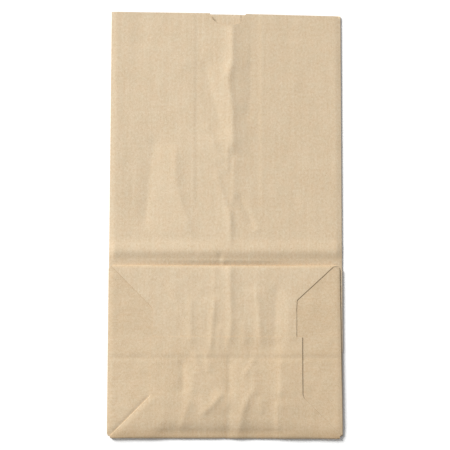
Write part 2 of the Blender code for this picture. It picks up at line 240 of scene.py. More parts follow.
LOWER_WRINKLES = {
    "main_ridge": ([(3.0, 114), (3.2, 92), (4.0, 76), (2.0, 58)], 0.62, 5.0, 4.0),
    "main_left": ([(-7.5, 112), (-6.5, 96)], 0.22, 5.0, 2.6),
    "left_ridge": ([(-22.6, 92), (-22.4, 60)], 0.38, 3.0, 6.5),
    "second_ridge": ([(-6.6, 92), (-8.2, 76), (-9.5, 57)], 0.40, 3.2, 2.5),
    "second_cut": ([(-3.4, 73), (-4.6, 57)], 0.20, 2.2, 1.6),
    "small_ridge": ([(11.8, 76), (12.4, 60)], 0.22, 2.4, 2.4),
    "third_ridge": ([(19.5, 98), (21.5, 84), (22.6, 60)], 0.42, 2.8, 5.5),
    "right_valley": ([(34.0, 100), (32.6, 84), (31.6, 54)], -0.46, 6.0, 5.0),
    "right_ridge": ([(41.0, 92), (40.6, 62)], 0.24, 4.0, 9.0),
    "left_faint": ([(-37.0, 99), (-24.0, 72)], 0.16, 2.2, 5.0),
    "fork_left": ([(-20.4, 55), (-15.6, 42)], 0.28, 2.2, 2.3),
    "fork_right": ([(-12.6, 56), (-10.2, 42)], 0.26, 2.2, 3.2),
    "dent_left": ([(-27.6, 51), (-27.2, 28)], -0.56, 6.5, 3.6),
    "dent_swell": ([(-20.0, 44), (-21.5, 29)], 0.26, 4.0, 4.6),
    "middle_valley": ([(2.4, 51), (2.8, 28)], -0.44, 3.2, 3.4),
    "right_slant": ([(19.8, 53), (12.6, 41)], 0.28, 2.8, 2.6),
    "right_fall": ([(18.8, 47), (19.2, 27)], 0.34, 5.0, 4.4),
    "outer_ridge": ([(35.8, 52), (35.6, 27)], 0.34, 2.4, 8.0),
    "foot_slant": ([(-1.0, 30), (-8.8, 21.5), (-15.5, 15.5)], 0.50, 4.4, 3.2),
    "foot_ridge": ([(17.0, 31), (11.0, 17), (8.4, 1)], 0.48, 4.8, 3.4),
    "foot_valley": ([(2.4, 20), (1.8, 0)], -0.34, 2.4, 2.8),
    "foot_dent": ([(22.8, 27), (23.6, 16)], 0.22, 2.0, 1.8),
    "outer_foot": ([(33.8, 25), (33.6, -1)], 0.34, 1.6, 7.0),
    "left_foot": ([(-22.6, 27), (-28.6, 6)], 0.34, 3.2, 5.0),
    "left_low": ([(-38.0, 20), (-42.0, 4)], 0.16, 4.0, 5.0),
}

# A wrinkle's crest is round. It fades toward both ends, and is nothing beyond a few flank widths.
CREST_ROUND = 0.7
FLANK_FALL = 1.3
FLANK_LIMIT = 2.4
FADE_SHARE = 0.25
FADE_START = 0.35

# Unevenness of the paper in millimetres: height, size, squeeze along the bag, lift, and place in the noise.
FRONT_COCKLES = [(0.10, 17, 0.5, 1, 3.1), (0.07, 6.5, 0.4, 1, 8.4), (0.030, 2.6, 0.7, 1, 6.3)]
BLOCK_COCKLES = [(0.12, 15, 1, 0, 5.7), (0.08, 6, 1, 0, 1.9), (0.030, 2.6, 1, 0, 4.4)]

# The front panel in millimetres: how it bulges, and how the gussets' inner creases show through it.
FRONT_PUFF = 1.1
FRONT_PUFF_REACH = 80
GUSSET_MARKS = [(-20.1, -1), (22.6, 1)]
MARK_STEP = 0.14
MARK_WIDTH = 1.2
MARK_START = 128
MARK_FADE = 40
EDGE_REACH = 4
FRONT_EDGE_SHARE = 0.15

# Just above the folded-up bottom, in millimetres: a groove, and puckers as height, x, reach, y and reach.
GROOVE_DEEP = 0.13
GROOVE_ABOVE = 0.2
GROOVE_REACH = 0.75
FOLD_RISE = 2
PUCKERS = [(-0.30, -3.4, 1.7, 5.4, 3.2), (0.22, -1.2, 1.6, 2.2, 1.6)]

# The soft step above it: from the valley up to the crest, then down again in two falls of share and reach.
SHOULDER_TALL = 0.80
SHOULDER_UNEVEN = 0.10
SHOULDER_UNEVEN_SIZE = 30
SHOULDER_UNEVEN_PLACE = 2.2
SHOULDER_VALLEY = 3.2
SHOULDER_CREST = 8.9
SHOULDER_STRAIGHT = 0.6
SHOULDER_FALLS = [(0.55, 9), (0.45, 34)]

# The folded-up bottom in millimetres: a fold mark across it, its puff, and how low its wrinkles may go.
BLOCK_WRINKLE_SHARE = 1.15
BLOCK_LIFT = 0.12
BLOCK_STEP = 0.12
BLOCK_STEP_START = 51.5
BLOCK_STEP_REACH = 3
BLOCK_LINE_DEEP = 0.14
BLOCK_LINE = 51.9
BLOCK_LINE_REACH = 1.3
BLOCK_PUFF = 1.0
BLOCK_PUFF_REACH = 38
BLOCK_PUFF_TOP = 26
BLOCK_PUFF_FALL = 0.8
BLOCK_PUFF_FADE = 40
BLOCK_LOW = 0.15
BLOCK_LOW_MORE = 0.8
BLOCK_LOW_FROM = 44
BLOCK_LOW_FADE = 8
BLOCK_EDGE_SHARE = 0.1

# How much flatter creased edges are pressed, and over what distance.
SIDE_PRESS = 0.14
SIDE_PRESS_REACH = 0.003
FOOT_PRESS = 0.38
FOOT_PRESS_REACH = 0.012
FRONT_PRESS = 0.03
FRONT_PRESS_REACH = 0.006
SLANT_PRESS = 0.15
SLANT_OFFSET = 0.3
SLANT_REACH = 1.4
SLANT_END = 0.030
SLANT_FADE = 0.004

# The back flap falls toward the foot between its corners.
FLAP_FALL = 0.0020
FLAP_FALL_REACH = 0.013
FLAP_FALL_LEFT = 0.050
FLAP_FALL_RIGHT = 0.046
FLAP_FALL_FADE = 0.014
FRONT_RELIEF_START = 0.003

# Painted shade in the paper's brightness: faces in shade of others, folds, the foot, the lower bottom and the
# right side are painted a little darker. Millimetres.
FACE_SHADE = {"side_strip": 0.95, "corner_front": 0.95, "corner_back": 0.95,
        "front_flap": 0.995, "back_flap": 0.995}
FOLD_SHADE = 0.035
FOLD_SHADE_ABOVE = 5.0
FOLD_SHADE_REACH = 3.4
RIGHT_SHADE = {"front": 0.020, "front_flap": 0.014, "back_flap": 0.014}
RIGHT_SHADE_START = -20
RIGHT_SHADE_REACH = 60
LOW_SHADE = 0.050
LOW_SHADE_START = 92
LOW_SHADE_REACH = 45
FOOT_SHADE = {"front_flap": 0.12, "back_flap": 0.12, "side_strip": 0.05}
FOOT_SHADE_REACH = 9
LIP_SHADE = 0.11
LIP_SHADE_REACH = 1.0
STRIP_SHADE = 0.020
STRIP_SHADE_REACH = 30

# The sheet's points: flat place in millimetres, folded place, brightness with painted shade, kept edges, and
# holes.
sheet = []
folded = []
tones = []
kept = []
holes = []


def ease(value):
    """From 0 to 1 with a smooth start and end."""
    value = min(max(value, 0.0), 1.0)
    return value * value * (3 - 2 * value)


def bell(value, middle, reach):
    """1 at the middle, falling off on both sides."""
    return math.exp(-((value - middle) / reach) ** 2)


def mouth(x):
    """How far up the bag the mouth is cut: the cut is slightly askew."""
    middle = (LENGTH_LEFT + LENGTH_RIGHT) / 2
    return middle - PAPER / 2 + (LENGTH_RIGHT - LENGTH_LEFT) * x / (2 * HALF)


def wrinkle(crest, tall, left, right, x, y):
    """Height of one wrinkle at a place, all in millimetres."""
    reach = FLANK_LIMIT * max(left, right)
    if not min(px for px, py in crest) - reach < x < max(px for px, py in crest) + reach:
        return 0.0
    if not crest[-1][1] - reach < y < crest[0][1] + reach:
        return 0.0
    nearest = None
    for (x0, y0), (x1, y1) in zip(crest, crest[1:]):
        along = ((x - x0) * (x1 - x0) + (y - y0) * (y1 - y0)) / ((x1 - x0) ** 2 + (y1 - y0) ** 2)
        along = min(max(along, 0.0), 1.0)
        cx = x0 + along * (x1 - x0)
        cy = y0 + along * (y1 - y0)
        far = math.hypot(x - cx, y - cy)
        if nearest is None or far < nearest[0]:
            nearest = (far, x - cx, cy)
    far, offset, foot = nearest
    wide = left if offset < 0 else right
    span = FADE_SHARE * (crest[0][1] - crest[-1][1])
    fade = ease((foot - crest[-1][1]) / span + FADE_START) * ease((crest[0][1] - foot) / span + FADE_START)
    rounded = math.sqrt(far * far + CREST_ROUND ** 2) - CREST_ROUND
    return tall * fade * math.exp(-rounded * FLANK_FALL / wide)


def cockle(x, y, size, seed):
    """A gentle unevenness of the paper, about 1 either way."""
    return noise.noise(Vector((x / size, y / size, seed)))


def uneven(cockles, x, y):
    """All the unevenness of one face, in millimetres."""
    return sum(tall * (cockle(x, y * squeeze, size, seed) + lift)
               for tall, size, squeeze, lift, seed in cockles)


def shoulder(x, above):
    """The soft step where the panel dips just above the folded-up bottom."""
    tall = SHOULDER_TALL + SHOULDER_UNEVEN * cockle(x, 0, SHOULDER_UNEVEN_SIZE, SHOULDER_UNEVEN_PLACE)
    if above < SHOULDER_CREST:
        part = (above - SHOULDER_VALLEY) / (SHOULDER_CREST - SHOULDER_VALLEY)
        part = min(max(part, 0.0), 1.0)
        return tall * (SHOULDER_STRAIGHT * part + (1 - SHOULDER_STRAIGHT) * ease(part))
    return tall * (1 - sum(share * ease((above - SHOULDER_CREST) / reach) for share, reach in SHOULDER_FALLS))


def front_relief(x, y, inward):
    """Relief of the front panel above the folded-up bottom, in millimetres."""
    above = y - DEPTH / MM
    total = sum(wrinkle(*values, x, y) for values in UPPER_WRINKLES.values())
    total += uneven(FRONT_COCKLES, x, y)
    total += FRONT_PUFF * ease(inward / FRONT_PUFF_REACH)
    total += shoulder(x, above)
    for line, way in GUSSET_MARKS:
        total += MARK_STEP * ease(0.5 + way * (x - line) / MARK_WIDTH) * ease((y - MARK_START) / MARK_FADE)
    total *= FRONT_EDGE_SHARE + (1 - FRONT_EDGE_SHARE) * ease(inward / EDGE_REACH)
    dents = -GROOVE_DEEP * bell(above, GROOVE_ABOVE, GROOVE_REACH)
    for tall, across, reach_across, up, reach_up in PUCKERS:
        dents += tall * bell(x, across, reach_across) * bell(above, up, reach_up)
    return total * ease((above - GROOVE_ABOVE) / FOLD_RISE) + dents


def block_relief(x, y, inward):
    """Relief of the folded-up bottom, in millimetres."""
    total = sum(wrinkle(*values, x, y) for values in LOWER_WRINKLES.values())
    total = total * BLOCK_WRINKLE_SHARE + BLOCK_LIFT
    total += uneven(BLOCK_COCKLES, x, y)
    total += BLOCK_STEP * ease((y - BLOCK_STEP_START) / BLOCK_STEP_REACH)
    total -= BLOCK_LINE_DEEP * bell(y, BLOCK_LINE, BLOCK_LINE_REACH)
    fall = 1 - BLOCK_PUFF_FALL * ease((y - BLOCK_PUFF_TOP) / BLOCK_PUFF_FADE)
    total += BLOCK_PUFF * ease(inward / BLOCK_PUFF_REACH) * ease(y / BLOCK_PUFF_TOP) * fall
    lowest = -BLOCK_LOW - BLOCK_LOW_MORE * ease((BLOCK_LOW_FROM - abs(x)) / BLOCK_LOW_FADE)
    return max(total, lowest) * (BLOCK_EDGE_SHARE + (1 - BLOCK_EDGE_SHARE) * ease(inward / EDGE_REACH))


def slant_valley(x, y):
    """1 along the line where the lower left corner is folded over, falling off on both sides."""
    if x > 0:
        return 0.0
    off = (HALF + x - y) / MM / DIAGONAL_ROUNDED
    return bell(off, SLANT_OFFSET, SLANT_REACH) * ease((SLANT_END - y) / SLANT_FADE)


def packed(x, y):
    """How tightly the loose plies lie on each other: creased edges are pressed flatter."""
    side = 1 - SIDE_PRESS * (1 - ease((HALF - abs(x)) / SIDE_PRESS_REACH))
    foot = 1 - FOOT_PRESS * (1 - min(y / FOOT_PRESS_REACH, 1)) ** 2
    front = 1 - FRONT_PRESS * (1 - ease(abs(DEPTH - y) / FRONT_PRESS_REACH))
    return side * foot * front * (1 - SLANT_PRESS * slant_valley(x, y))


def height(face, side, x, y):
    """Mid height of the paper of one face at a folded place."""
    across = side * x
    inward = (HALF - abs(across)) / MM
    loose = min(LEVEL[face], LEVEL["side_strip"])
    rise = PAPER / 2 + loose * packed(across, y) + LEVEL[face] - loose
    if face == "back" and side < 0:
        rise += SEAM_PITCH * ease((across - SEAM_LOW) / SEAM_RAMP)
    if face in ("side_strip", "corner_front", "corner_back", "front_flap", "back_flap"):
        rise += MM * block_relief(across / MM, y / MM, inward)
    if face == "back_flap" and side > 0:
        rise += SEAM_PITCH * ease((SEAM_HIGH - across) / SEAM_RAMP)
    if face == "back_flap":
        middle = ease((FLAP_FALL_LEFT + across) / FLAP_FALL_FADE)
        middle *= ease((FLAP_FALL_RIGHT - across) / FLAP_FALL_FADE)
        rise -= FLAP_FALL * middle * (1 - min(y / FLAP_FALL_REACH, 1)) ** 2
    if face == "front" and y > DEPTH - FRONT_RELIEF_START:
        rise += MM * front_relief(across / MM, y / MM, inward)
    return rise


def painted_shade_tone(face, x, y):
    """How bright a place is painted, standing in for shade: folds, the foot, the lower bottom and the right
    side of the bag are a little darker and browner.
    """
    x, y = x / MM, y / MM
    tone = FACE_SHADE.get(face, 1.0)
    # Painted shade: a little darker toward the right, away from the light.
    tone -= RIGHT_SHADE.get(face, 0.0) * ease((x - RIGHT_SHADE_START) / RIGHT_SHADE_REACH)
    # Painted shade toward the rolled foot.
    tone -= FOOT_SHADE.get(face, 0.0) * ease((FOOT_SHADE_REACH - y) / FOOT_SHADE_REACH)
    if face == "front":
        # Painted shade in the dip just above the folded-up bottom.
        tone -= FOLD_SHADE * bell(y - DEPTH / MM, FOLD_SHADE_ABOVE, FOLD_SHADE_REACH)
    if face in ("front_flap", "back_flap"):
        # Painted shade over the lower part of the flaps.
        tone -= LOW_SHADE * ease((LOW_SHADE_START - y) / LOW_SHADE_REACH)
    if face == "front_flap":
        # Painted shade along the front flap's fold against the front panel.
        tone -= LIP_SHADE * bell(y, DEPTH / MM, LIP_SHADE_REACH)
    if face == "side_strip":
        # Painted shade: the side strips darker toward the right.
        tone -= STRIP_SHADE * ease(x / STRIP_SHADE_REACH)
    return tone


def add(side, place, spot, rise, tone=1.0):
    """One point of the sheet. The left side is built as the right one and mirrored here."""
    sheet.append(Vector((FLAT_SCALE * side * place[0], FLAT_SCALE * place[1])))
    folded.append(Vector((side * spot[0], spot[1], rise)))
    tones.append(tone)
    return len(sheet) - 1


def chain(run):
    """Keeps the edges from each point to the next."""
    for one, two in zip(run, run[1:]):
        kept.append((one, two))


def spread(start, end, most):
    """Distances from start to end, no two further apart than most."""
    count = max(1, math.ceil((end - start) / most))
    return [start + (end - start) * k / count for k in range(count + 1)]


def value(given, stop):
    """What is given, or what it says for a place along a crease."""
    return given(stop) if callable(given) else given


def bend(side, start, end, stops, lower, upper, inset, reach=None, first=None, crease_shade=0.0):
    """Rows of points round one crease. The lower face is right of the way from start to end."""
    start, end = Vector(start), Vector(end)
    along = (end - start).normalized()
    across = Vector((-along.y, along.x))
    rows = [first] if first else []
    for stop in stops[len(rows):]:
        wide = value(inset, stop)
        place = start + along * stop
        base = Vector(FOLD[lower](*(place - across * wide)))
        out = (Vector(FOLD[lower](*place)) - base).normalized()
        bottom = height(lower, side, *base)
        top = height(upper, side, *base)
        push = value(reach, stop) if reach else wide
        row = []
        for step in range(STEPS + 1):
            share = step / STEPS
            spot = base + out * push * math.sin(math.pi * share)
            rise = (bottom + top) / 2 - (top - bottom) / 2 * math.cos(math.pi * share)
            tone = painted_shade_tone(lower, side * spot.x, spot.y) * (1 - share)
            tone += painted_shade_tone(upper, side * spot.x, spot.y) * share
            # Painted shade along the middle of the crease, where the fold's gap would lie in shade.
            tone *= 1 - crease_shade * bell(share, 0.5, CREASE_SHADE_WIDTH)
            row.append(add(side, place + across * wide * (2 * share - 1), spot, rise, tone))
        rows.append(row)
    for step in range(STEPS + 1):
        chain([row[step] for row in rows])
    return rows


def turned_row(u):
    """One row of points round the fold across the tube, where front and gussets turn back together."""
    side = 1 if u >= 0 else -1
    u = abs(u)
    level = GUSSET + TURN_INSET
    edge = HALF - SIDE_INSET
    x = u
    front = height("front", side, min(x, edge), level)
    middle = (front + height("turned_front", side, min(x, edge), level)) / 2
    rise = front
    if u > HALF + SIDE_INSET - SLACK:
        x = 2 * HALF - u
        middle = (height("gusset_front", side, x, level) + height("turned_gusset", side, x, level)) / 2
        rise = height("gusset_front", side, x, level)
    elif u > edge:
        turn = math.pi * (u - edge) / (2 * SIDE_INSET)
        inner = height("gusset_front", side, edge, level)
        x = edge + SIDE_INSET * math.sin(turn)
        rise = (front + inner) / 2 + (front - inner) / 2 * math.cos(turn)
    row = []
    for step in range(STEPS + 1):
        turn = math.pi * step / STEPS
        spot = (x, level - (middle - rise) * math.sin(turn))
        v = GUSSET + TURN_INSET * (1 - 2 * step / STEPS)
        row.append(add(side, (u, v), spot, middle - (middle - rise) * math.cos(turn)))
    return row


def hole(side, centre, ends):
    """A small relief hole where creases meet: its rim runs over the ends of their bends."""
    centre = Vector((FLAT_SCALE * side * centre[0], FLAT_SCALE * centre[1]))
    order = []
    for end in ends:
        middle = sum((sheet[index] for index in end), Vector((0, 0))) / len(end) - centre
        bearing = math.atan2(middle.y, middle.x)
        facing = Vector((math.cos(bearing), math.sin(bearing)))
        turn = lambda index: facing.cross(sheet[index] - centre) / facing.dot(sheet[index] - centre)
        order.append((bearing, sorted(end, key=turn)))
    rim = [index for bearing, end in sorted(order) for index in end]
    chain(rim + rim[:1])
    holes.append([sheet[index] for index in rim])


def corner(side, face, x, y):
    """One point at a folded place of a face."""
    return add(side, UNFOLD[face](x, y), (x, y), height(face, side, x, y), painted_shade_tone(face, side * x, y))


def run(side, face, *places, most=CUT_EDGE_PITCH):
    """Points along a cut edge of one face through folded places, the first and the last left out."""
    places = [Vector(place) for place in places]
    spots = []
    for one, two in zip(places, places[1:]):
        stops = spread(0, (two - one).length, most)[:-1]
        spots += [one + (two - one).normalized() * stop for stop in stops]
    return [corner(side, face, *spot) for spot in spots[1:]]


def mouth_run(side, face, start, end):
    """Points along the mouth of one face, which a toothed blade has cut."""
    spots = []
    first = math.ceil(min(start, end) * 2 / TOOTH_PITCH + TOOTH_END)
    last = math.floor(max(start, end) * 2 / TOOTH_PITCH - TOOTH_END)
    for count in range(first, last + 1):
        x = count * TOOTH_PITCH / 2
        spots.append((x, mouth(side * x) - TOOTH_DEPTH * (count % 2)))
    if end < start:
        spots.reverse()
    return [corner(side, face, *spot) for spot in spots]


def found(side, face, x, y):
    """The point already placed there."""
    u, v = UNFOLD[face](x, y)
    want = Vector((FLAT_SCALE * side * u, FLAT_SCALE * v))
    return min(range(len(sheet)), key=lambda index: (sheet[index] - want).length_squared)


def crease_line(side, face, x, start, end, places):
    """Keeps a straight row of points along the bag, so that the seam's step stays sharp."""
    row = [corner(side, face, x, y) for y in places]
    chain([found(side, face, x, start)] + row + [found(side, face, x, end)])


def inside(shape, point):
    """Whether a point is inside a closed shape."""
    within = False
    for one, two in zip(shape, shape[1:] + shape[:1]):
        if (one.y > point.y) != (two.y > point.y):
            cut = one.x + (two.x - one.x) * (point.y - one.y) / (two.y - one.y)
            if cut > point.x:
                within = not within
    return within


def gap(one, two, point):
    """Distance of a point from the stretch between two places."""
    along = two - one
    share = min(max((point - one).dot(along) / along.length_squared, 0.0), 1.0)
    return (point - one - along * share).length


def fill(side, face, shape, grid=None, avoid=None):
    """A grid of points inside one face, clear of its edges, with every other row moved a little."""
    pitch, clear = GRID[grid or face]
    shape = [Vector(point) for point in shape]
    left, right = min(p.x for p in shape), max(p.x for p in shape)
    bottom, top = min(p.y for p in shape), max(p.y for p in shape)
    edges = list(zip(shape, shape[1:] + shape[:1]))
    for row, y in enumerate(spread(bottom, top, pitch)[1:-1]):
        for x in spread(left, right, pitch)[1:-1]:
            x += pitch / 4 if row % 2 else -pitch / 4
            spot = Vector((x, y))
            if not inside(shape, spot) or (avoid and avoid(x, y)):
                continue
            if all(gap(one, two, spot) > clear for one, two in edges):
                corner(side, face, x, y)


def tube_fold():
    """The fold across the tube, from one gusset apex to the other. Gives its rows by their flat place."""
    side_turn = [HALF + SIDE_INSET * (1 - 2 * step / STEPS) for step in range(STEPS + 1)]
    columns = spread(HALF + SIDE_INSET, HALF + GUSSET - APEX_GAP, HIDDEN_SLANT_PITCH)[:0:-1] + side_turn
    columns += spread(0, HALF - SIDE_INSET, HIDDEN_SLANT_PITCH)[-2:0:-1]
    rows = {u: turned_row(u) for u in columns + [0.0] + [-u for u in reversed(columns)]}
    for step in range(STEPS + 1):
        chain([row[step] for row in rows.values()])
    return rows, side_turn, columns[0]


def tube_creases(side, rows, side_turn):
    """Creases of the front, the gusset and the back on one side."""
    turned = [rows[side * u] for u in side_turn]
    front_corner = (HALF, 0)
    back_corner = (HALF + DEPTH, 0)
    apex = (HALF + GUSSET, GUSSET)
    side_top = mouth(side * (HALF - SIDE_INSET))
    inner_top = mouth(side * (HALF - GUSSET + SIDE_INSET))
    slant = GUSSET * DIAGONAL
    creases = {}
    creases["front_edge"] = bend(
        side, front_corner, (HALF, FAR), spread(GUSSET + TURN_INSET, side_top, FRONT_EDGE_PITCH),
        "gusset_front", "front", SIDE_INSET, first=[row[0] for row in turned])
    creases["turned_edge"] = bend(
        side, (HALF, GUSSET - TURN_INSET), front_corner,
        spread(0, GUSSET - TURN_INSET - FRONT_GAP, HIDDEN_EDGE_PITCH),
        "turned_front", "turned_gusset", SIDE_INSET, first=[row[-1] for row in reversed(turned)])
    creases["inner_edge"] = bend(
        side, apex, (HALF + GUSSET, FAR), spread(APEX_GAP, inner_top - GUSSET, INNER_EDGE_PITCH),
        "gusset_back", "gusset_front", SIDE_INSET)
    creases["back_edge"] = bend(
        side, (HALF + DEPTH, FAR), back_corner,
        spread(FAR - side_top, FAR - BACK_EDGE_GAP, HIDDEN_EDGE_PITCH),
        "gusset_back", "back", SIDE_INSET)
    creases["upper_slant"] = bend(
        side, apex, front_corner, spread(APEX_GAP, slant - FRONT_GAP, HIDDEN_SLANT_PITCH),
        "turned_gusset", "end_triangle", SIDE_INSET)
    creases["lower_slant"] = bend(
        side, back_corner, apex, spread(BACK_GAP, slant - APEX_GAP, HIDDEN_SLANT_PITCH),
        "gusset_back", "end_triangle", LOWER_SLANT_INSET)
    return creases


def strip_inset(side, stop):
    """The right-hand edge of the bottom stands in from the bag's own edge, more so toward the mouth."""
    if side < 0:
        return SIDE_INSET
    return SIDE_INSET + (STRIP_IN_START + STRIP_IN_MORE * stop / DEPTH)


def front_corner_inset(side, stop):
    """How far in from its crease each front corner is folded: the right one a little inside its corner."""
    if side < 0:
        return LEFT_SLANT_INSET + LEFT_SLANT_MORE * ease(stop / LEFT_SLANT_GROWS)
    share = stop / (FRONT_STRIP[side] * DIAGONAL)
    short = FOLDED_SHORT[0] + (FOLDED_SHORT[1] - FOLDED_SHORT[0]) * share
    return min(SHORT_START + SHORT_SLOPE * stop, short)


def front_corner_stops(side):
    """Places along the fold of a front corner, closer together where the right one runs into its cut edge."""
    end = FRONT_STRIP[side] * DIAGONAL - SLANT_GAP[side]
    if side < 0:
        return spread(SLANT_START[side], end, FINE)
    return spread(SLANT_START[side], SLANT_FINE_END, SLANT_FINE)[:-1] + spread(SLANT_FINE_END, end, FINE)


def roll_reach(stop):
    """How far the rolled foot of the back reaches at a place along it."""
    grown = ease((stop - ROLL_GROWS_FROM) / ROLL_GROWS_OVER)
    return ROLL_REACH_END + (ROLL_REACH_MIDDLE - ROLL_REACH_END) * grown


def nested_reach(stop):
    """The same where the other side's lap lies round it."""
    return roll_reach(stop) - SEAM_PITCH * ease((stop - HALF - SEAM_LOW) / SEAM_RAMP)


def roll_stops(side):
    """Places along the rolled foot, with rows where the seam's step begins and ends."""
    lines = SEAM_LINES[side]
    stops = spread(ROLL_GAP, HALF - lines[0], FINE)[:-1]
    for one, two in zip(lines, lines[1:] + [SEAM_END[side]]):
        stops += [HALF - two - stop for stop in spread(0, one - two, FINE)[:0:-1]]
    return stops + [HALF - SEAM_END[side]]


def bottom_creases(side):
    """Creases of the bottom's side strip, its two corners and the rolled foot on one side."""
    front_corner = (HALF, 0)
    back_corner = (HALF + DEPTH, 0)
    front_strip = FRONT_STRIP[side]
    back_strip = BACK_STRIP[side]
    creases = {}
    creases["strip_edge"] = bend(
        side, back_corner, front_corner, spread(BACK_GAP, DEPTH - FRONT_GAP, FINE),
        "end_triangle", "side_strip", lambda stop: strip_inset(side, stop), reach=SIDE_INSET)
    creases["strip_front"] = bend(
        side, (HALF, -front_strip), front_corner, spread(0, front_strip - FRONT_GAP, FINE),
        "side_strip", "corner_front", STRIP_FRONT_INSET, reach=SIDE_INSET)
    creases["strip_back"] = bend(
        side, back_corner, (HALF + DEPTH, -FAR), spread(STRIP_BACK_GAP, back_strip, FINE),
        "side_strip", "corner_back", STRIP_BACK_INSET, reach=SIDE_INSET)
    creases["corner_front"] = bend(
        side, (HALF - front_strip, -front_strip), front_corner, front_corner_stops(side),
        "corner_front", "front_flap", lambda stop: front_corner_inset(side, stop),
        reach=CORNER_FRONT_REACH, crease_shade=CORNER_FRONT_CREASE_SHADE)
    creases["corner_back"] = bend(
        side, back_corner, (HALF + DEPTH + back_strip, -back_strip),
        spread(BACK_GAP, back_strip * DIAGONAL - SLANT_BACK_GAP, FINE),
        "corner_back", "back_flap", CORNER_BACK_INSET, reach=CORNER_BACK_REACH[side])
    creases["roll"] = bend(
        side, back_corner, (2 * HALF + DEPTH - SEAM_END[side], 0), roll_stops(side),
        "back_flap", "back", roll_reach, reach=None if side > 0 else nested_reach)
    return creases


def mouth_edge(side, creases):
    """The sheet's cut edge at the mouth of one side, from the thumb cut to the seam."""
    start = NOTCH_OFFSET * side + NOTCH_WIDTH / 2
    edge = [corner(side, "front", start, mouth(side * start))]
    edge += mouth_run(side, "front", start, HALF - SIDE_INSET)
    edge += creases["front_edge"][-1][::-1]
    edge += mouth_run(side, "gusset_front", HALF - SIDE_INSET, HALF - GUSSET + SIDE_INSET)
    edge += creases["inner_edge"][-1][::-1]
    edge += mouth_run(side, "gusset_back", HALF - GUSSET + SIDE_INSET, HALF - SIDE_INSET)
    edge += creases["back_edge"][0]
    edge += mouth_run(side, "back", HALF - SIDE_INSET, SEAM_END[side])
    return edge + [corner(side, "back", SEAM_END[side], mouth(side * SEAM_END[side]))]


def flap_edge(side, creases):
    """The rest of the cut edge of one side: down the seam and round the bottom's flaps."""
    seam_end = SEAM_END[side]
    front_in = HALF - FRONT_STRIP[side]
    back_in = HALF - BACK_STRIP[side]
    top = mouth(side * seam_end)
    foot = DEPTH - FRONT_FLAP
    edge = run(side, "back", (seam_end, top), (seam_end, ROLL_REACH_MIDDLE), most=SEAM_EDGE_PITCH)
    edge += creases["roll"][-1][::-1]
    edge += run(side, "back_flap", (seam_end, ROLL_REACH_MIDDLE), (seam_end, BACK_FLAP))
    edge += [corner(side, "back_flap", seam_end, BACK_FLAP)]
    stops = [seam_end] + SEAM_LINES[side][::-1] + [back_in]
    edge += run(side, "back_flap", *[(x, BACK_FLAP) for x in stops])
    edge += [corner(side, "back_flap", back_in, BACK_FLAP)]
    edge += run(side, "back_flap", (back_in, BACK_FLAP), (back_in, BACK_STRIP[side]))
    edge += creases["corner_back"][-1][::-1]
    edge += run(side, "corner_back", (back_in, BACK_STRIP[side]), (back_in, STRIP_BACK_INSET))
    edge += creases["strip_back"][-1][::-1]
    edge += run(side, "side_strip", (back_in, STRIP_BACK_INSET), (back_in - STRIP_UNDER, STRIP_UNDER_START),
                (front_in - STRIP_UNDER, DEPTH - STRIP_UNDER_START), (front_in, DEPTH - STRIP_FRONT_INSET))
    edge += creases["strip_front"][0]
    edge += run(side, "corner_front", (front_in, DEPTH - STRIP_FRONT_INSET),
                (front_in, DEPTH - FRONT_STRIP[side]))
    edge += creases["corner_front"][0]
    edge += run(side, "front_flap", (front_in, DEPTH - FRONT_STRIP[side]), (front_in, foot))
    edge += [corner(side, "front_flap", front_in, foot)]
    return edge + run(side, "front_flap", (front_in, foot), (0, foot))


def seam_step(side):
    """Rows that keep the seam's step sharp, on the back's left side and the back flap's right side."""
    back_places = spread(BACK_LINE_START, BACK_LINE_END, BACK_LINE_PITCH)
    flap_places = spread(FLAP_LINE_START, FLAP_LINE_END, FINE)
    for x in SEAM_LINES[side][:2]:
        if side < 0:
            crease_line(side, "back", x, ROLL_REACH_MIDDLE, mouth(side * x), back_places)
        else:
            crease_line(side, "back_flap", x, ROLL_REACH_MIDDLE, BACK_FLAP, flap_places)


def near_seam_line(side, x):
    """Whether a place is close to a row that keeps the seam's step."""
    return any(abs(x - line) < SEAM_LINE_CLEAR for line in SEAM_LINES[side][:2])


def near_roll(side, x, y):
    """Whether a place of the back flap is taken by the rolled foot or by the seam's step."""
    return y < roll_reach(HALF - x) + ROLL_CLEAR or (side > 0 and near_seam_line(side, x))


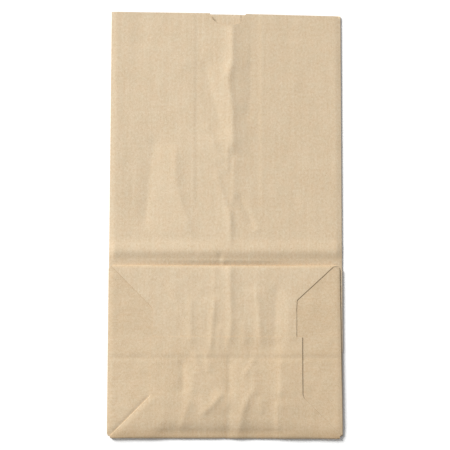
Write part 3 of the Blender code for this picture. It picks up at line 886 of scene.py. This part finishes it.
def fill_side(side):
    """Points inside the faces of one side."""
    seam_end = SEAM_END[side]
    front_strip = FRONT_STRIP[side]
    back_strip = BACK_STRIP[side]
    front_in = HALF - front_strip
    back_in = HALF - back_strip
    apex = HALF - GUSSET
    side_top = mouth(side * (HALF - SIDE_INSET))
    inner_top = mouth(side * (apex + SIDE_INSET))
    short_x, short_y = 0.0, 0.0
    if side > 0:
        short_x = FOLDED_SHORT[1] * DIAGONAL_ROUNDED
        short_y = FOLDED_SHORT[0] * DIAGONAL_ROUNDED
    fill(side, "back", [(HALF, 0), (HALF, side_top), (seam_end, side_top), (seam_end, 0)],
         avoid=(lambda x, y: near_seam_line(side, x)) if side < 0 else None)
    fill(side, "back_flap", [(HALF, 0), (back_in, back_strip), (back_in, BACK_FLAP), (seam_end, BACK_FLAP),
                             (seam_end, FLAP_FOOT)], avoid=lambda x, y: near_roll(side, x, y))
    fill(side, "side_strip", [(HALF, STRIP_CLEAR), (HALF, DEPTH - STRIP_CLEAR),
                              (front_in, DEPTH), (back_in, 0)])
    fill(side, "corner_front", [(front_in, DEPTH), (front_in, DEPTH - front_strip + short_y),
                                (HALF - short_x, DEPTH)])
    fill(side, "corner_back", [(HALF, 0), (back_in, back_strip), (back_in, 0)])
    fill(side, "gusset_front", [(HALF, GUSSET), (HALF, inner_top), (apex, inner_top), (apex, GUSSET)],
         "hidden")
    fill(side, "gusset_back", [(HALF, 0), (HALF, inner_top), (apex, inner_top), (apex, GUSSET)], "hidden")
    fill(side, "turned_gusset", [(HALF, GUSSET), (HALF, DEPTH), (apex, GUSSET)], "hidden")
    fill(side, "end_triangle", [(HALF, 0), (HALF, DEPTH), (apex, GUSSET)], "hidden")


def build_side(side, rows, side_turn, apex_column):
    """Everything of one side. Gives its cut edge and the creases that meet at its front corner."""
    creases = tube_creases(side, rows, side_turn)
    creases.update(bottom_creases(side))
    hole(side, (HALF + GUSSET, GUSSET), [rows[side * apex_column], creases["inner_edge"][0],
                                         creases["upper_slant"][0], creases["lower_slant"][-1]])
    hole(side, (HALF + DEPTH, 0), [creases["back_edge"][-1]] + [creases[name][0] for name in (
        "lower_slant", "strip_edge", "strip_back", "corner_back", "roll")])
    edge = mouth_edge(side, creases)
    edge += flap_edge(side, creases)
    seam_step(side)
    fill_side(side)
    meeting = ("turned_edge", "upper_slant", "strip_edge", "strip_front", "corner_front")
    return edge, [creases[name][-1] for name in meeting]


def thumb_cut(left_edge, right_edge):
    """Points round the thumb cut. What lies inside it, up past the mouth, is cut out."""
    arc = []
    for across, deep in NOTCH_SHAPE:
        x = NOTCH_OFFSET + MM * across
        arc.append(corner(1, "front", x, mouth(x) - MM * deep))
    beyond = [sheet[edge[0]] + Vector((0, PAST_MOUTH)) for edge in (right_edge, left_edge)]
    holes.append([sheet[index] for index in left_edge[:1] + arc + right_edge[:1]] + beyond)
    return arc


def near_notch(x, y):
    """Whether a place is in or close to the thumb cut."""
    return abs(x - NOTCH_OFFSET) < NOTCH_CLEAR_ACROSS and y > LENGTH_RIGHT - NOTCH_CLEAR_DOWN


def fill_front():
    """Points inside the front panel, the part turned under, and the front flap of the bottom."""
    left_in = -HALF + FRONT_STRIP[-1]
    right_in = HALF - FRONT_STRIP[1]
    foot = DEPTH - FRONT_FLAP
    right_corner = DEPTH - FRONT_STRIP[1] + FOLDED_SHORT[0] * DIAGONAL
    turned = [(HALF, GUSSET), (HALF, DEPTH), (-HALF, DEPTH), (-HALF, GUSSET)]
    fill(1, "front", [(HALF, DEPTH), (HALF, mouth(HALF)), (-HALF, mouth(-HALF)), (-HALF, DEPTH)],
         avoid=near_notch)
    fill(1, "front", turned, "hidden")
    fill(1, "turned_front", turned)
    fill(1, "front_flap", [(-HALF, DEPTH), (left_in, DEPTH - FRONT_STRIP[-1]), (left_in, foot),
                           (right_in, foot), (right_in, right_corner),
                           (HALF - FOLDED_SHORT[1] * DIAGONAL_ROUNDED, DEPTH)])


def cut_out(places, face, boxes):
    """Whether a triangle lies in a hole, or spans outside the sheet from one edge to another."""
    corners = [places[index] for index in face]
    if max((one - two).length for one, two in zip(corners, corners[1:] + corners[:1])) > LONGEST_EDGE:
        return True
    middle = sum(corners, Vector((0, 0))) / 3
    return any(left < middle.x < right and bottom < middle.y < top and inside(shape, middle)
               for (left, right, bottom, top), shape in zip(boxes, holes))


def fold_sheet():
    """Joins the sheet's points into triangles, and gives the folded sheet as a mesh."""
    places, _, faces, sources, _, _ = delaunay_2d_cdt(sheet, kept, [], 1, SAME_PLACE, True)
    boxes = [(min(p.x for p in shape), max(p.x for p in shape),
              min(p.y for p in shape), max(p.y for p in shape)) for shape in holes]
    whole = [face for face in faces
             if all(sources[index] for index in face) and not cut_out(places, face, boxes)]
    used = sorted({index for face in whole for index in face})
    renumber = {index: number for number, index in enumerate(used)}
    origin = [sources[index][0] for index in used]
    middle_y = (max(folded[index].y for index in origin) - PAPER / 2) / 2
    mesh = bpy.data.meshes.new("bag_paper")
    mesh.from_pydata([folded[index] - Vector((0, middle_y, 0)) for index in origin], [],
                     [[renumber[index] for index in face] for face in whole])
    flat = mesh.uv_layers.new(name="sheet")
    for loop_corner in mesh.loops:
        place = places[used[loop_corner.vertex_index]]
        flat.data[loop_corner.index].uv = (place.x / UV_SCALE, place.y / UV_SCALE)
    # Each point's brightness, with its painted shade, goes with the mesh as the tone attribute.
    tone = mesh.attributes.new("tone", "FLOAT", "POINT")
    tone.data.foreach_set("value", [tones[index] for index in origin])
    mesh.shade_smooth()
    return mesh


def thicken(mesh):
    """The piece itself: the folded sheet given the thickness of the paper."""
    piece = bpy.data.objects.new("bag_paper", mesh)
    bpy.context.scene.collection.objects.link(piece)
    solidify = piece.modifiers.new("paper", "SOLIDIFY")
    solidify.thickness = PAPER
    solidify.offset = 0.0
    graph = bpy.context.evaluated_depsgraph_get()
    solid = bpy.data.meshes.new_from_object(piece.evaluated_get(graph))
    piece.modifiers.clear()
    piece.data = solid
    solid.set_sharp_from_angle(angle=math.radians(SHARP_ANGLE))
    return piece


tube_rows, side_turn, apex_column = tube_fold()
right_edge, right_meeting = build_side(1, tube_rows, side_turn, apex_column)
left_edge, left_meeting = build_side(-1, tube_rows, side_turn, apex_column)
foot_fold = bend(1, (-HALF, 0), (HALF, 0), spread(FOOT_GAP_LEFT, 2 * HALF - FOOT_GAP_RIGHT, FINE),
                 "front_flap", "turned_front", FOOT_INSET, reach=FOOT_REACH, crease_shade=FOOT_CREASE_SHADE)
hole(1, (HALF, 0), right_meeting + [foot_fold[-1]])
hole(-1, (HALF, 0), left_meeting + [foot_fold[0]])
notch_edge = thumb_cut(left_edge, right_edge)
low_middle = corner(1, "front_flap", 0.0, DEPTH - FRONT_FLAP)
whole_edge = left_edge[::-1] + notch_edge + right_edge + [low_middle]
chain(whole_edge + whole_edge[:1])
fill_front()
paper = thicken(fold_sheet())

# Kraft paper: warm brown, matt, with a soft mottle, streaks along the sheet, short fibres and dark specks.
# Patterns are scale, stretch along the sheet, detail, roughness and offset of the noise, and depth.
KRAFT_COLOUR = (0.632, 0.502, 0.345)
KRAFT_ROUGHNESS = 0.85
KRAFT_SHINE = 0.25
PATTERNS = {
    "cloud": (7, 1.0, 2, 0.55, (0, 0, 0), 0.018),
    "mottle": (75, 1.3, 3, 0.7, (3, 1, 0), 0.070),
    "grain": (260, 1.6, 2, 0.7, (1, 7, 0), 0.074),
    "streak": (60, 26, 2, 0.6, (5, 2, 0), 0.020),
    "fibre": (300, 9, 2, 0.6, (9, 4, 0), 0.022),
    "speck": (210, 1.0, 0, 0.5, (4, 4, 0), 0.20),
    "hue": (22, 1.5, 2, 0.6, (2, 9, 0), 0.010),
}
NOISE_RANGE = (0.3, 0.7)
HUE_RANGE = (0.35, 0.65)
SPECK_RANGE = (0.745, 0.79)
BUMP_STRENGTH = 0.35
BUMP_HEIGHT = 0.00006
BUMP_GRAIN = 0.7

# How fast each colour falls off where the paper is darker, and which way the hue turns it.
CHANNELS = {"Red": (1.0, 1.0), "Green": (1.45, -0.4), "Blue": (2.1, -1.0)}

kraft = bpy.data.materials.new("kraft_paper")
kraft.use_nodes = True
nodes = kraft.node_tree.nodes
links = kraft.node_tree.links
flat_place = nodes.new("ShaderNodeUVMap")
flat_place.uv_map = "sheet"


def pattern(name):
    """Noise over the flat sheet, stretched along it, from 0 to 1."""
    scale, stretch, detail, rough, offset, _ = PATTERNS[name]
    mapping = nodes.new("ShaderNodeMapping")
    mapping.inputs["Scale"].default_value = (scale, scale / stretch, 1)
    mapping.inputs["Location"].default_value = offset
    links.new(flat_place.outputs["UV"], mapping.inputs["Vector"])
    noise_node = nodes.new("ShaderNodeTexNoise")
    noise_node.inputs["Scale"].default_value = 1
    noise_node.inputs["Detail"].default_value = detail
    noise_node.inputs["Roughness"].default_value = rough
    links.new(mapping.outputs["Vector"], noise_node.inputs["Vector"])
    return noise_node.outputs["Fac"]


def maths(operation, *values):
    """One sum of numbers or sockets."""
    node = nodes.new("ShaderNodeMath")
    node.operation = operation
    for socket, given in zip(node.inputs, values):
        if isinstance(given, (int, float)):
            socket.default_value = given
        else:
            links.new(given, socket)
    return node.outputs["Value"]


def ranged(given, start, end, to_start, to_end):
    """A socket's values carried from one range to another."""
    node = nodes.new("ShaderNodeMapRange")
    links.new(given, node.inputs["Value"])
    for name, number in (("From Min", start), ("From Max", end), ("To Min", to_start), ("To Max", to_end)):
        node.inputs[name].default_value = number
    return node.outputs["Result"]


def paper_brightness(mottle, grain):
    """How bright the paper is at each place, about 1, times the painted shade of the tone attribute."""
    sockets = {"cloud": pattern("cloud"), "mottle": mottle, "grain": grain, "streak": pattern("streak"),
               "fibre": pattern("fibre")}
    shade = 1.0
    for name, socket in sockets.items():
        depth = PATTERNS[name][-1]
        shade = maths("ADD", shade, ranged(socket, *NOISE_RANGE, -depth, depth))
    shade = maths("ADD", shade, ranged(pattern("speck"), *SPECK_RANGE, 0, -PATTERNS["speck"][-1]))
    # The tone attribute is each point's painted shade.
    attribute = nodes.new("ShaderNodeAttribute")
    attribute.attribute_name = "tone"
    return maths("MULTIPLY", shade, attribute.outputs["Fac"])


def paper_colour(brightness):
    """The paper's colour. Where it is darker it is also browner."""
    hue = ranged(pattern("hue"), *HUE_RANGE, -PATTERNS["hue"][-1], PATTERNS["hue"][-1])
    combine = nodes.new("ShaderNodeCombineColor")
    for (name, (fall, turn)), amount in zip(CHANNELS.items(), KRAFT_COLOUR):
        level = maths("MULTIPLY", maths("POWER", brightness, fall), amount)
        turned = maths("ADD", maths("MULTIPLY", hue, turn), 1.0)
        links.new(maths("MULTIPLY", level, turned), combine.inputs[name])
    return combine.outputs["Color"]


mottle_noise = pattern("mottle")
grain_noise = pattern("grain")
shader = nodes["Principled BSDF"]
shader.inputs["Roughness"].default_value = KRAFT_ROUGHNESS
shader.inputs["Specular IOR Level"].default_value = KRAFT_SHINE
links.new(paper_colour(paper_brightness(mottle_noise, grain_noise)), shader.inputs["Base Color"])
bump = nodes.new("ShaderNodeBump")
bump.inputs["Strength"].default_value = BUMP_STRENGTH
bump.inputs["Distance"].default_value = BUMP_HEIGHT
links.new(maths("ADD", mottle_noise, maths("MULTIPLY", grain_noise, BUMP_GRAIN)), bump.inputs["Height"])
links.new(bump.outputs["Normal"], shader.inputs["Normal"])
paper.data.materials.clear()
paper.data.materials.append(kraft)

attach(paper, "root")
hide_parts("paper_bag")

# Plain white table, just under the paper.
TABLE_SIZE = 6
TABLE_BELOW = 0.0002
TABLE_WHITE = 0.98
TABLE_ROUGHNESS = 0.9
bpy.ops.mesh.primitive_plane_add(size=TABLE_SIZE, location=(0, 0, -TABLE_BELOW))
floor = bpy.context.object
floor.name = "floor"
table = bpy.data.materials.new("white_table")
table.use_nodes = True
table_shader = table.node_tree.nodes["Principled BSDF"]
table_shader.inputs["Base Color"].default_value = (TABLE_WHITE, TABLE_WHITE, TABLE_WHITE, 1)
table_shader.inputs["Roughness"].default_value = TABLE_ROUGHNESS
floor.data.materials.append(table)

# White surroundings, and one soft light low from the upper left.
SURROUND_STRENGTH = 0.30
LIGHT_ANGLE = 24
LIGHT_ENERGY = 5.0
LIGHT_WAY = Vector((0.98, -1.00, -0.84)).normalized()
world = bpy.data.worlds.new("white_surround")
world.use_nodes = True
background = world.node_tree.nodes["Background"]
background.inputs["Color"].default_value = (1, 1, 1, 1)
background.inputs["Strength"].default_value = SURROUND_STRENGTH
bpy.context.scene.world = world
bpy.context.scene.view_settings.view_transform = "Standard"
key_data = bpy.data.lights.new("key", "SUN")
key_data.angle = math.radians(LIGHT_ANGLE)
key_data.energy = LIGHT_ENERGY
key = bpy.data.objects.new("key", key_data)
key.location = -LIGHT_WAY
key.rotation_mode = "QUATERNION"
key.rotation_quaternion = LIGHT_WAY.to_track_quat("-Z", "Y")
bpy.context.scene.collection.objects.link(key)

# The camera looks down, tilted a little toward the foot.
LENS = 54.8
SENSOR_WIDTH = 36
TILT = math.radians(2.84)
ROLL = math.radians(0.15)
DISTANCE = 0.45
AIM = Vector((-0.0003, -0.0019, 0.0))
camera_data = bpy.data.cameras.new("camera")
camera_data.lens = LENS
camera_data.sensor_width = SENSOR_WIDTH
camera = bpy.data.objects.new("camera", camera_data)
camera.location = AIM + DISTANCE * Vector((0, -math.sin(TILT), math.cos(TILT)))
camera.rotation_euler = (TILT, 0, ROLL)
bpy.context.scene.collection.objects.link(camera)
bpy.context.scene.camera = camera

bpy.context.view_layer.update()
